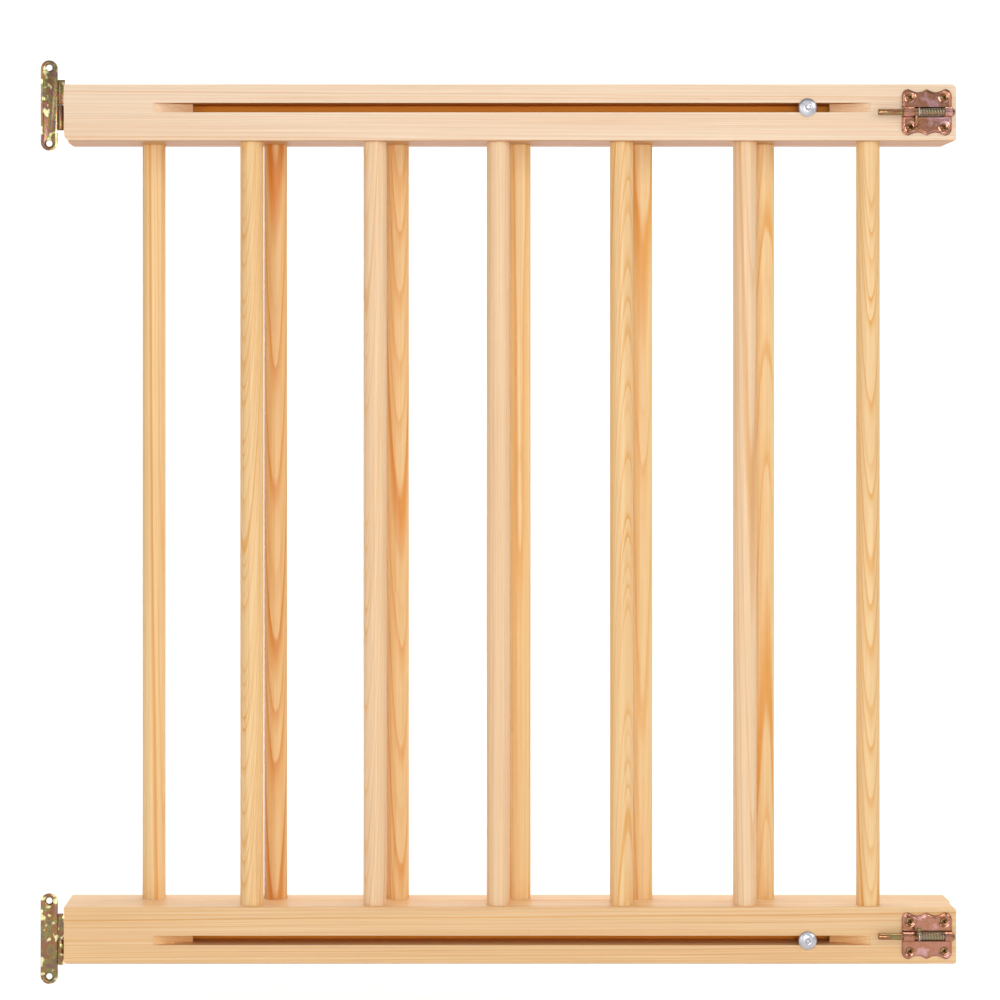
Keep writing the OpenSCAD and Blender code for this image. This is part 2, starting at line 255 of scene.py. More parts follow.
def stretched_noise(tree, coords, scale, size, detail=2.0, roughness=0.5):
    """Noise in coordinates multiplied by a scale for each axis."""
    moved = add(tree, "ShaderNodeVectorMath", {0: coords, 1: scale}, operation="MULTIPLY")
    made = add(tree, "ShaderNodeTexNoise", {"Vector": moved.outputs[0], "Scale": size,
               "Detail": detail, "Roughness": roughness})
    return made.outputs["Fac"]


def ramp(tree, value, stops):
    """A colour ramp from (position, colour) stops."""
    node = add(tree, "ShaderNodeValToRGB", {"Fac": value})
    while len(node.color_ramp.elements) < len(stops):
        node.color_ramp.elements.new(0.5)
    for element, (position, colour) in zip(node.color_ramp.elements, stops):
        element.position = position
        element.color = (*colour, 1)
    return node.outputs["Color"]


def mix(tree, kind, amount, a, b):
    """Colour b laid over colour a by a blend mode, as far as amount says."""
    node = add(tree, "ShaderNodeMix", {0: amount}, data_type="RGBA", blend_type=kind)
    for socket, value in ((6, a), (7, b)):
        if isinstance(value, bpy.types.NodeSocket):
            tree.links.new(value, node.inputs[socket])
        else:
            node.inputs[socket].default_value = (*value, 1)
    return node.outputs[2]


def shader(name):
    """A new material and its node tree, with a Principled shader in it."""
    material = bpy.data.materials.new(name)
    material.use_nodes = True
    tree = material.node_tree
    return material, tree, tree.nodes["Principled BSDF"]


def tinted(tree, colour, amount, factors):
    """A colour multiplied by factors where amount is 1."""
    return mix(tree, "MULTIPLY", amount, colour, factors)


def soft_range(tree, value, start, end):
    """0 below start, 1 above end, with a smooth change between."""
    return add(tree, "ShaderNodeMapRange", {"Value": value, 1: start, 2: end},
               interpolation_type="SMOOTHSTEP").outputs[0]


# ---------------------------------------------------------------- wood

def growth_rings(tree, place, pith, lean, ring, bends):
    """Where a point lies between one year's ring and the next, and how strong that ring is.
    Place is its run along the piece, and its distances across and behind the middle."""
    run, across, behind = place
    a = calc(tree, "MULTIPLY_ADD", run, lean[0] * MM, calc(tree, "ADD", across, -pith[0] * MM))
    b = calc(tree, "MULTIPLY_ADD", run, lean[1] * MM, calc(tree, "ADD", behind, -pith[1] * MM))
    square = calc(tree, "ADD", calc(tree, "MULTIPLY", a, a), calc(tree, "MULTIPLY", b, b))
    radius = calc(tree, "DIVIDE", calc(tree, "SQRT", square), ring * MM)
    for bend, size in bends:
        radius = calc(tree, "MULTIPLY_ADD", bend, size, radius)
    uneven = add(tree, "ShaderNodeTexNoise", {"W": radius, "Scale": 0.37, "Detail": 1.0},
                 noise_dimensions="1D").outputs["Fac"]
    phase = calc(tree, "FRACT", calc(tree, "MULTIPLY_ADD", uneven, 2.6, radius))
    strength = add(tree, "ShaderNodeTexNoise", {"W": radius, "Scale": 0.71, "Detail": 0.0},
                   noise_dimensions="1D").outputs["Fac"]
    return phase, strength


def ring_colour(tree, phase, strength, tones, depth):
    """Pale early wood that darkens to a narrow line of late wood, once in each ring."""
    early, mid, late = tones
    rings = ramp(tree, phase, [(0.0, early), (0.38, early), (0.70, mid), (0.86, late),
                               (0.94, late), (1.0, early)])
    amount = calc(tree, "MULTIPLY_ADD", strength, 1.7 * depth, -0.15 * depth)
    amount = add(tree, "ShaderNodeClamp", {"Value": amount, "Min": 0.15, "Max": 1.0}).outputs[0]
    return mix(tree, "MIX", amount, early, rings)


def slot_masks(tree, x, y, z, slot):
    """1 on the milled walls of a slot, where painted light brightens them, and 1 deep inside it, where
    painted orange shade stands for the slot's shadow and the light its walls bounce.
    """
    middle_x, half_x, middle_z, half_z, face_y = slot
    off_x = calc(tree, "ABSOLUTE", calc(tree, "ADD", x, -middle_x))
    off_z = calc(tree, "ABSOLUTE", calc(tree, "ADD", z, -middle_z))
    inside = calc(tree, "MULTIPLY", soft_range(tree, off_x, half_x, half_x - 0.0002),
                  soft_range(tree, off_z, half_z + 0.0004, half_z + 0.0002))
    # The milled walls: the mask for painted light, and for less gloss.
    sawn = calc(tree, "MULTIPLY", inside, soft_range(tree, y, face_y, face_y + 0.001))
    # Deep inside the slot: the mask for painted orange shade.
    deep_slot_shade = calc(tree, "MULTIPLY", inside,
                 soft_range(tree, y, face_y + 0.004, face_y + 0.026))
    return sawn, deep_slot_shade


def pine(name, along, centre, pith, lean, ring, tones, depth=1.0, wander=1.0, seed=0.0,
         slot=None, painted_slot_light=False):
    """Pine sawn or turned from a log. Its growth rings are cylinders round a pith line that
    passes the piece's centre at a distance, leaning a little, so that they come out as
    stripes, flames or chains of Vs. Lengths are in millimetres, leans in mm for each metre.
    Where a slot shuts a front face in, that face gets a warm orange tint: painted shade, with painted
    light bounced from the slot's walls."""
    material, tree, bsdf = shader(name)
    coords = add(tree, "ShaderNodeTexCoord").outputs["Object"]
    local = add(tree, "ShaderNodeVectorMath", {0: coords, 1: centre}, operation="SUBTRACT")
    x, y, z = add(tree, "ShaderNodeSeparateXYZ", {0: local.outputs[0]}).outputs
    rail = along == "X"
    run, across = (x, z) if rail else (z, x)
    moved = add(tree, "ShaderNodeVectorMath", {0: coords, 1: (seed, seed * 0.37, seed * 0.71)},
                operation="ADD").outputs[0]

    def fibre_noise(length, width, detail=2.0, roughness=0.5):
        """Noise whose features are length by width millimetres along and across the grain."""
        scale = (1000 / length, 1000 / width, 1000 / width)
        return stretched_noise(tree, moved, scale if rail else scale[::-1], 1.0, detail,
                               roughness)

    slow = calc(tree, "SUBTRACT", fibre_noise(420, 34), 0.5)
    quick = calc(tree, "SUBTRACT", fibre_noise(110, 12, 3.0), 0.5)
    bends = ((slow, 3.2 * wander), (quick, 0.9 * wander))
    phase, strength = growth_rings(tree, (run, across, y), pith, lean, ring, bends)
    colour = ring_colour(tree, phase, strength, tones, depth)

    fibres = fibre_noise(130, 1.1, 3.0, 0.6)
    streaks = ramp(tree, fibres, [(0.3, (0.93, 0.89, 0.84)), (0.64, (1.03, 1.03, 1.03))])
    colour = tinted(tree, colour, 0.9, streaks)
    blush = ramp(tree, fibre_noise(500, 2.6), [(0.36, (0.97, 0.91, 0.86)), (0.60, (1, 1, 1))])
    colour = tinted(tree, colour, 1.0, blush)
    canals = ramp(tree, fibre_noise(22, 0.7, 1.0), [(0.72, (1, 1, 1)), (0.79, (0.86, 0.72, 0.56))])
    colour = tinted(tree, colour, 0.7, canals)
    cloud = ramp(tree, fibre_noise(260, 30), [(0.3, (0.97, 0.93, 0.88)), (0.7, (1, 1, 1))])
    colour = tinted(tree, colour, 1.0, cloud)

    normal = add(tree, "ShaderNodeNewGeometry").outputs["Normal"]
    facing = add(tree, "ShaderNodeSeparateXYZ", {0: normal}).outputs
    # Painted shade: faces that look down are darkened to orange brown, for the shade under the rails.
    underside_shade = soft_range(tree, facing["Z"], -0.3, -0.95)
    colour = tinted(tree, colour, underside_shade, (0.58, 0.36, 0.16))
    dull_and_painted_light = None
    if painted_slot_light:
        # Painted shade and bounced light: a warm orange tint where another rail shuts this front face
        # in.
        open_part = add(tree, "ShaderNodeAmbientOcclusion", {"Distance": 0.03}, samples=8)
        shut_in_shade = soft_range(tree, open_part.outputs["AO"], 0.75, 0.45)
        dull_and_painted_light = calc(tree, "MULTIPLY", shut_in_shade, soft_range(tree, facing["Y"], -0.5, -0.9))
        colour = tinted(tree, colour, dull_and_painted_light, (1.09, 0.60, 0.13))
    if slot:
        dull_and_painted_light, deep_slot_shade = slot_masks(tree, x, y, z, slot)
        # Painted light: the milled walls are brightened, for the light that reaches into the slot. The
        # same mask also makes them less glossy.
        colour = tinted(tree, colour, dull_and_painted_light, (1.10, 1.09, 1.04))
        # Painted shade: deep in the slot the wood is tinted dark orange, for its shadow and the light
        # its walls bounce.
        colour = tinted(tree, colour, deep_slot_shade, (1.0, 0.70, 0.30))
    tree.links.new(colour, bsdf.inputs["Base Color"])

    rough = calc(tree, "MULTIPLY_ADD", fibres, 0.16, 0.42)
    rough = calc(tree, "MULTIPLY_ADD", phase, -0.06, rough)
    tree.links.new(rough, bsdf.inputs["Roughness"])
    relief = calc(tree, "MULTIPLY_ADD", fibres, 0.6, calc(tree, "MULTIPLY", phase, 0.25))
    bump = add(tree, "ShaderNodeBump", {"Strength": 0.2, "Distance": 0.0004, "Height": relief})
    tree.links.new(bump.outputs[0], bsdf.inputs["Normal"])
    if dull_and_painted_light is not None:
        tree.links.new(calc(tree, "MULTIPLY_ADD", dull_and_painted_light, -0.45, 0.5),
                       bsdf.inputs["Specular IOR Level"])
        tree.links.new(calc(tree, "MULTIPLY_ADD", dull_and_painted_light, -0.1, 0.1), bsdf.inputs["Coat Weight"])
    else:
        bsdf.inputs["Coat Weight"].default_value = 0.1
    bsdf.inputs["Coat Roughness"].default_value = 0.35
    return material


# Early wood, the change to late wood, and late wood
CREAM = ((0.89, 0.71, 0.54), (0.875, 0.65, 0.44), (0.84, 0.55, 0.325))
SHELL = ((0.90, 0.665, 0.425), (0.875, 0.60, 0.335), (0.82, 0.48, 0.21))
STRAW = ((0.90, 0.635, 0.325), (0.87, 0.55, 0.225), (0.81, 0.40, 0.09))
WHEAT = ((0.84, 0.585, 0.325), (0.81, 0.51, 0.235), (0.76, 0.40, 0.13))
CORN = ((0.93, 0.68, 0.355), (0.90, 0.59, 0.24), (0.85, 0.43, 0.10))
HONEY = ((0.91, 0.63, 0.31), (0.87, 0.50, 0.18), (0.81, 0.35, 0.07))
AMBER = ((0.87, 0.57, 0.26), (0.81, 0.41, 0.125), (0.73, 0.27, 0.04))


# ---------------------------------------------------------------- metals

# How far the painted shade reaches into hollows and in from outer edges.
HOLLOW_REACH = 1.6 * MM
EDGE_REACH = 1.1 * MM


def painted_ao_shade(tree, colour, reach, edges, shade):
    """Paints shade into hollows, or onto outer edges, within reach of another surface."""
    open_part = add(tree, "ShaderNodeAmbientOcclusion", {"Distance": reach}, samples=6,
                    inside=edges, only_local=True).outputs["AO"]
    return tinted(tree, colour, soft_range(tree, open_part, 0.92, 0.45), shade)


def passivated(name, stops, roughness, scale, painted_glints=0):
    """Zinc plate with a yellow chromate film: patches of gold, copper, pink and olive.
    Bright spots, where asked for, are painted highlight for the glints of a hammered sheet."""
    material, tree, bsdf = shader(name)
    coords = add(tree, "ShaderNodeTexCoord").outputs["Object"]
    patches = stretched_noise(tree, coords, (1, 1, 1), scale, 2.5, 0.55)
    colour = ramp(tree, patches, stops)
    grain = stretched_noise(tree, coords, (1, 1, 1), scale * 14, 3.0, 0.6)
    colour = mix(tree, "MULTIPLY", 0.2, colour,
                 ramp(tree, grain, [(0.3, (0.75, 0.75, 0.75)), (0.7, (1.1, 1.1, 1.1))]))
    if painted_glints:
        # Painted highlight: bright glint spots laid over the colour.
        glint_spots = stretched_noise(tree, coords, (1, 1, 0.8), painted_glints, 0.6, 0.4)
        colour = mix(tree, "MIX", soft_range(tree, glint_spots, 0.60, 0.68), colour, PAINTED_GLINT)
    # Painted shade in hollows and on outer edges.
    colour = painted_ao_shade(tree, colour, HOLLOW_REACH, False, (0.30, 0.20, 0.16))
    colour = painted_ao_shade(tree, colour, EDGE_REACH, True, (0.34, 0.24, 0.19))
    tree.links.new(colour, bsdf.inputs["Base Color"])
    tree.links.new(calc(tree, "MULTIPLY_ADD", grain, 0.22, roughness - 0.11),
                   bsdf.inputs["Roughness"])
    bump = add(tree, "ShaderNodeBump", {"Strength": 0.06, "Distance": 0.0001, "Height": grain})
    tree.links.new(bump.outputs[0], bsdf.inputs["Normal"])
    bsdf.inputs["Metallic"].default_value = 1.0
    return material


def plain_metal(name, colour, roughness, stretch=(1, 1, 1), scale=2500):
    """Bright or drawn metal with fine tool marks along one direction, and painted shade in its
    hollows.
    """
    material, tree, bsdf = shader(name)
    coords = add(tree, "ShaderNodeTexCoord").outputs["Object"]
    marks = stretched_noise(tree, coords, stretch, scale, 3.0, 0.6)
    dull_and_painted_light = ramp(tree, marks, [(0.3, tuple(c * 0.82 for c in colour)), (0.7, colour)])
    # Painted shade in hollows.
    dull_and_painted_light = painted_ao_shade(tree, dull_and_painted_light, HOLLOW_REACH, False, (0.35, 0.33, 0.33))
    tree.links.new(dull_and_painted_light, bsdf.inputs["Base Color"])
    tree.links.new(calc(tree, "MULTIPLY_ADD", marks, 0.2, roughness - 0.1),
                   bsdf.inputs["Roughness"])
    bump = add(tree, "ShaderNodeBump", {"Strength": 0.1, "Distance": 0.0001, "Height": marks})
    tree.links.new(bump.outputs[0], bsdf.inputs["Normal"])
    bsdf.inputs["Metallic"].default_value = 1.0
    return material


COPPER = (0.51, 0.22, 0.115)
ROSE = (0.56, 0.27, 0.20)
PINK = (0.72, 0.40, 0.40)
GOLD = (0.50, 0.36, 0.17)
BRONZE = (0.36, 0.23, 0.11)
OLIVE = (0.30, 0.28, 0.11)
DUSK = (0.29, 0.17, 0.13)
RUST = (0.38, 0.17, 0.08)
# Colour of the painted highlight on glints.
PAINTED_GLINT = (0.95, 0.93, 0.46)

plate_metal = passivated("yellow_zinc_plate", [(0.34, COPPER), (0.46, ROSE), (0.56, COPPER),
                         (0.66, PINK)], 0.19, 75)
hinge_metal = passivated("yellow_zinc_hinge", [(0.36, DUSK), (0.46, OLIVE), (0.54, RUST),
                         (0.64, DUSK)], 0.26, 110, 230)
rod_metal = passivated("yellow_zinc_rod", [(0.38, RUST), (0.52, BRONZE), (0.64, OLIVE)],
                       0.22, 110)
screw_metal = passivated("yellow_zinc_screw", [(0.4, RUST), (0.6, GOLD)], 0.3, 300)
spring_metal = plain_metal("spring_steel", (0.50, 0.53, 0.45), 0.26)
zinc = plain_metal("bright_zinc", (0.72, 0.72, 0.79), 0.36)


# ---------------------------------------------------------------- rails and bars

def give_material(node, material):
    """Puts a material on a CAD node that stays as it is."""
    obj = frame["nodes"][node]
    obj.data.materials.clear()
    obj.data.materials.append(material)


SLOT_HALF = 0.00385
SLOT_SHIFT = 0.004
SLOT_ENDS = (0.0719, 0.6511)  # from the rail's left end


def rail_material(node, tones, pith, lean, ring, depth, seed):
    """Rails are sawn with the pith above or below them, so their faces show fine lines."""
    low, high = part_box(node)
    centre = (low + high) / 2
    slot, front = None, node.startswith("front")
    if front:
        shift = SLOT_SHIFT if "upper" in node else -SLOT_SHIFT
        start, end = (low.x + end - centre.x for end in SLOT_ENDS)
        slot = ((start + end) / 2, (end - start) / 2, shift, SLOT_HALF, low.y - centre.y)
    give_material(node, pine(node, "X", centre, pith, lean, ring, tones, depth, 0.7, seed,
                             slot, not front))


rail_material("front_upper_rail", CREAM, (-90, 30), (9, 2), 1.9, 0.85, 1.7)
rail_material("front_lower_rail", WHEAT, (-70, -34), (-9, 3), 2.1, 0.95, 2.9)
rail_material("rear_upper_rail", SHELL, (60, 40), (4, -4), 3.4, 0.8, 4.3)
rail_material("rear_lower_rail", WHEAT, (-70, 30), (3, 4), 3.4, 0.8, 5.9)


def bar_material(node, facing, ring, lean, tones, depth, wander, seed):
    """Facing is the side, in degrees to the right of the front, that looks away from the
    pith: the flames run there. A lean of the pith makes them point up, or down if negative."""
    low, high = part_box(node)
    a = math.radians(facing)
    away = Vector((math.sin(a), -math.cos(a)))
    give_material(node, pine(node, "Z", (low + high) / 2, -away * 42, away * lean, ring,
                             tones, depth, wander, seed))


FRONT_BARS = (
    (-38, 1.2, 62, STRAW, 0.85, 0.35),
    (-52, 1.4, 40, SHELL, 0.75, 0.35),
    (95, 1.5, 5, SHELL, 0.55, 0.3),
    (30, 1.5, -48, STRAW, 0.85, 0.45),
    (34, 2.4, 16, SHELL, 1.0, 0.6),
    (4, 1.7, 42, STRAW, 1.0, 0.5),
)
REAR_BARS = (
    (60, 2.2, 8, STRAW, 0.9, 0.5),
    (2, 2.9, 38, AMBER, 1.0, 0.5),
    (16, 2.4, 42, HONEY, 0.9, 0.5),
    (0, 3.4, 5, CORN, 1.0, 0.35),
    (8, 2.6, 24, CORN, 0.8, 0.7),
    (14, 2.6, -30, CORN, 0.95, 0.6),
)
for i in BARS:
    bar_material(f"front_bar_{i}", *FRONT_BARS[i - 1], 7.3 + 1.9 * i)
    bar_material(f"rear_bar_{i}", *REAR_BARS[i - 1], 23.1 + 2.3 * i)


# ---------------------------------------------------------------- fasteners

SCREW_HEAD_R = 3.0
SCREW_SHANK_R = 1.7


def thread(z, pitch, core, rise, sharpness=1):
    """Radius, as a function of the angle, of a thread at height z."""
    def radius(a):
        return core + rise * abs(((z / pitch + a / (2 * math.pi)) % 1) * 2 - 1) ** sharpness
    return radius


def screw(name, where, length):
    """A raised cross-recessed wood screw: where has its origin at the sheet's face and +Z outwards."""
    dome = [(0.95 - 0.75 * (r / SCREW_HEAD_R) ** 2, r) for r in (0, 0.6, 1.2, 1.8, 2.3, 2.7)]
    rings = dome + [(0.12, 2.92), (-0.02, SCREW_HEAD_R), (-0.15, 2.95), (-1.35, SCREW_SHANK_R)]
    pitch, step = 1.6, 0.2
    for k in range(int((length - 3.4) / step)):
        z = -1.5 - k * step
        rings.append((z, thread(z, pitch, 1.25, 0.45, 2)))
    rings += [(2 - length, 1.2), (0.2 - length, 0.25), (-length, 0)]
    obj = turned_object(name, rings, where, 24)
    slots = []
    for turn in (45, 135):
        spin = where @ Matrix.Rotation(math.radians(turn), 4, "Z")
        blade = [(-1.9, 1.4), (1.9, 1.4), (1.7, -0.1), (0.6, -1.2), (-0.6, -1.2), (-1.7, -0.1)]
        upright = Matrix.Rotation(math.radians(90), 4, "X")
        slots.append(prism("blade", blade, -0.42, 0.42, spin @ upright))
    return combine(obj, slots, "DIFFERENCE")


def screw_group(node, places, length, body):
    """Equal screws at several places, as one piece."""
    made = [screw("screw", where, length) for where in places]
    finish_piece(join(f"{node}_detail", made), screw_metal, body, [node], 30)


def clamp_bolt(side):
    """A domed head with a hexagon socket on a threaded shank."""
    node = f"{side}_clamp_bolt"
    low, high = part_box(node)
    head_r, rim, dome, head = (high.x - low.x) / 2 / MM, 0.8, 2.8, 3.6
    length = (high.y - low.y) / MM - head
    where = placed(((low.x + high.x) / 2, low.y + head * MM, (low.z + high.z) / 2),
                   (0, -1, 0), (1, 0, 0))

    def hexagon(a, flats=4.0):
        return flats / 2 / math.cos((a + math.pi / 6) % (math.pi / 3) - math.pi / 6)

    def dome_z(r):
        return rim + dome * (1 - (r / head_r) ** 2) ** 0.62

    rings = [(head - 2.5, 0), (head - 2.2, hexagon), (dome_z(2.3) - 0.25, hexagon)]
    rings += [(dome_z(2.45) - 0.1, 2.5), (dome_z(2.7), 2.7)]
    rings += [(dome_z(r), r) for r in (3.3, 4.0, 4.7, 5.4, 6.0, 6.5, 6.9, 7.2, 7.38)]
    rings += [(rim * 0.8, head_r), (0.15, head_r), (0, head_r - 0.15), (0, 3.1), (-0.2, 2.95)]
    pitch, step = 1.0, 0.2
    for k in range(int((length - 2) / step)):
        z = -0.4 - k * step
        rings.append((z, thread(z, pitch, 2.62, 0.33)))
    rings += [(0.8 - length, 2.6), (-length, 2.0), (-length, 0)]
    obj = turned_object(f"{node}_detail", rings, where, 60)
    finish_piece(obj, zinc, f"{side}_clamp_screw", [node])


def clamp_nut(side):
    """A drive-in nut: a flange with four punched prongs and a threaded barrel."""
    node = f"{side}_clamp_nut"
    low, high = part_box(node)
    flange_r, depth = (high.x - low.x) / 2 / MM, (high.y - low.y) / MM
    where = placed(((low.x + high.x) / 2, high.y, (low.z + high.z) / 2), (0, 1, 0), (1, 0, 0))

    def notched(a):
        near = abs((a + math.pi / 4) % (math.pi / 2) - math.pi / 4)
        return flange_r - 2.6 * (1 - smooth_step((near - 0.20) / 0.05))

    def chamfered(a):
        return notched(a) - 0.2

    pitch, step = 1.0, 0.2
    bore = [(-k * step - 0.3, thread(k * step, pitch, 3.05, 0.3))
            for k in range(int((depth - 0.8) / step))]
    rings = bore[::-1] + [(-0.05, 3.6), (0, 3.9), (0, chamfered), (-0.2, notched),
                          (-1.3, notched), (-1.5, chamfered), (-1.5, 4.2), (-1.8, 3.95),
                          (0.5 - depth, 3.95), (-depth, 3.6)]
    rings.append(rings[0])
    obj = turned_object(f"{node}_detail", rings, where, 96)
    finish_piece(obj, zinc, "rear_panel", [node])


for side in SIDES:
    clamp_bolt(side)
    clamp_nut(side)


# ---------------------------------------------------------------- hinges

BARREL_R = 2.6
BARREL_HALF = 20.5
KNUCKLE_GAP = 0.25  # from the barrel's middle to either knuckle
SHEET = 1.05  # thickness of the rolled sheet
ROLL_R = BARREL_R - SHEET / 2
HINGE_REACH = 6.3  # from the pin to the rail's end
WALL_PLATE_W = 14.0
WALL_SHEET = 1.5
WALL_HOLE_UP = 31  # from the plate's middle to either hole
LEAF_HALF = 13.0
LEAF_SCREW_UP = 7.5
ROUNDED = 0.18 * MM


def hinge_axis(side):
    """The middle of a hinge's pin, and of its barrel."""
    low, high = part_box(f"{side}_hinge_pin")
    return Vector(((low.x + high.x) / 2, (low.y + high.y) / 2, (low.z + high.z) / 2))


def wall_leaf(side):
    """A round-ended plate with two countersunk holes, and the lower knuckle rolled from it."""
    node = f"{side}_wall_leaf"
    low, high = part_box(node)
    pin = hinge_axis(side)
    end_r = WALL_PLATE_W / 2
    end = (high.z - low.z) / 2 / MM - end_r
    where = placed((0, 0, pin.z), (0, -1, 0), (1, 0, 0))
    outline = arc(0, end, end_r, 0, 180, 24) + arc(0, -end, end_r, 180, 360, 24)
    plate = prism("plate", outline, 0, WALL_SHEET, where)
    hole = [(-1, 0), (-1, 2.5), (0.45, 2.5), (WALL_SHEET, 3.9), (3, 5.4), (3, 0)]
    cutters = []
    for up in (-WALL_HOLE_UP, WALL_HOLE_UP):
        cutters.append(turned_object("drill", hole, where @ Matrix.Translation((0, up, 0)), 40))
    combine(plate, cutters, "DIFFERENCE")
    soften(plate, 0.28 * MM)
    path = [(-8.0, ROLL_R), (-4.0, ROLL_R), (-1.0, ROLL_R)] + arc(0, 0, ROLL_R, 90, -228, 44)
    at = placed(pin, (0, 0, 1), (1, 0, 0))
    roll = prism("roll", ribbon(path, SHEET), -BARREL_HALF, -KNUCKLE_GAP, at)
    soften(roll, ROUNDED)
    obj = combine(plate, [roll], "UNION")
    obj.name = f"{node}_detail"
    finish_piece(obj, hinge_metal, "wall_side", [node])


def gate_leaf(side):
    """The upper knuckle, rolled from a leaf that bends round the rail's end."""
    node = f"{side}_gate_leaf"
    pin = hinge_axis(side)
    at = placed(pin, (0, 0, 1), (1, 0, 0))
    bend, bend_r = HINGE_REACH - SHEET / 2, 1.6
    back = (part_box(node)[1].y - pin.y) / MM
    knuckle = arc(0, 0, ROLL_R, 48, 270, 36)[:-1]
    knuckle += [(0, -ROLL_R), (1.5, -ROLL_R), (bend - 2.0, -ROLL_R)]
    flat = knuckle[-1:] + arc(bend - bend_r, bend_r - ROLL_R, bend_r, -90, 0, 8)
    flat += [(bend, 3.0), (bend, back - 4), (bend, back)]
    roll = prism("roll", ribbon(knuckle, SHEET), KNUCKLE_GAP, BARREL_HALF, at)
    soften(roll, ROUNDED)
    leaf = prism("leaf", ribbon(flat, SHEET), -LEAF_HALF, LEAF_HALF, at)
    hole = [(-3, 0), (-3, 1.8), (-1.2, 1.8), (0, 3.05), (1.5, 4.4), (1.5, 0)]
    cutters = [turned_object("drill", hole, where, 32) for where in leaf_screw_places(side)]
    combine(leaf, cutters, "DIFFERENCE")
    soften(leaf, 0.22 * MM)
    obj = combine(leaf, [roll], "UNION")
    obj.name = f"{node}_detail"
    finish_piece(obj, hinge_metal, "rear_panel", [node])


def leaf_screw_places(side):
    """Frames of the two screws that hold a gate leaf, at the leaf's face."""
    low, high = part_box(f"{side}_leaf_screws")
    y = (low.y + high.y) / 2
    mid = (low.z + high.z) / 2
    return [placed((low.x + 0.45 * MM, y, mid + up * MM), (-1, 0, 0), (0, 1, 0))
            for up in (-LEAF_SCREW_UP, LEAF_SCREW_UP)]


def hinge_pin(side):
    """A plain pin with rounded ends."""
    node = f"{side}_hinge_pin"
    low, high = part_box(node)
    length = (high.z - low.z) / MM
    axis = hinge_axis(side)
    where = placed((axis.x, axis.y, low.z), (0, 0, 1), (1, 0, 0))
    rings = [(0, 0), (0, 1.1), (0.15, 1.38), (0.45, 1.5), (length - 0.45, 1.5),
             (length - 0.15, 1.35), (length, 0.9), (length, 0)]
    obj = turned_object(f"{node}_detail", rings, where, 32)
    finish_piece(obj, zinc, "wall_side", [node])


for side in SIDES:
    wall_leaf(side)
    gate_leaf(side)
    hinge_pin(side)
    screw_group(f"{side}_leaf_screws", leaf_screw_places(side), 19.0, "rear_panel")


# ---------------------------------------------------------------- latches

PLATE_W, PLATE_H = 40.0, 37.4
LOBE_R, SCALLOP_X, SCALLOP_RISE = 5.4, 7.2, 2.6
FLANGE, EMBOSS = 1.2, 0.7  # height of the flat rim, and of the field above it
CHANNEL_R, ROD_RISE, FILLET = 3.88, 4.0, 1.15
WINDOW = (9.2 - PLATE_W / 2, 33.4 - PLATE_W / 2)
WINDOW_ROWS = 13  # rows of the section that the window takes, on either side of the crown
SCREW_GRID = (13.75, 12.0)
ROD_R, WASHER_R = 2.5, 3.5


def plate_edge(x):
    """Half the plate's height at x: a lobe at each corner and a peak in the middle."""
    start = PLATE_W / 2 - LOBE_R
    if abs(x) > start:
        reach = min(abs(x) - start, LOBE_R)
        return PLATE_H / 2 - LOBE_R + math.sqrt(LOBE_R ** 2 - reach ** 2)
    rise = abs(abs(x) - SCALLOP_X) / (start - SCALLOP_X)
    return PLATE_H / 2 - SCALLOP_RISE + SCALLOP_RISE * rise ** 1.6


def plate_height(x, z):
    """Top of the pressed sheet above the rail: a flat flange, a raised field and screw dimples."""
    margin = min(PLATE_W / 2 - abs(x), (plate_edge(x) - abs(z)) * 0.9)
    height = FLANGE + EMBOSS * smooth_step((margin - 0.7) / 1.1)
    gap = math.hypot(abs(x) - SCREW_GRID[0], abs(z) - SCREW_GRID[1])
    return FLANGE + (height - FLANGE) * smooth_step((gap - 3.1) / 1.7)


def plate_section(x):
    """(z, height) points across the plate at x, from the channel's crown to the upper edge."""
    points = [(CHANNEL_R * math.sin(a), ROD_RISE + CHANNEL_R * math.cos(a))
              for a in [math.radians(t) for t in range(0, 91, 9)]]
    foot = plate_height(x, CHANNEL_R + FILLET)
    points += [(z, h) for z, h in arc(CHANNEL_R + FILLET, foot + FILLET, FILLET, 180, 270, 5)]
    start, edge, rows = CHANNEL_R + FILLET, plate_edge(x), 26
    for k in range(1, rows + 1):
        z = start + (edge - start) * k / rows
        points.append((z, plate_height(x, z)))
    return points


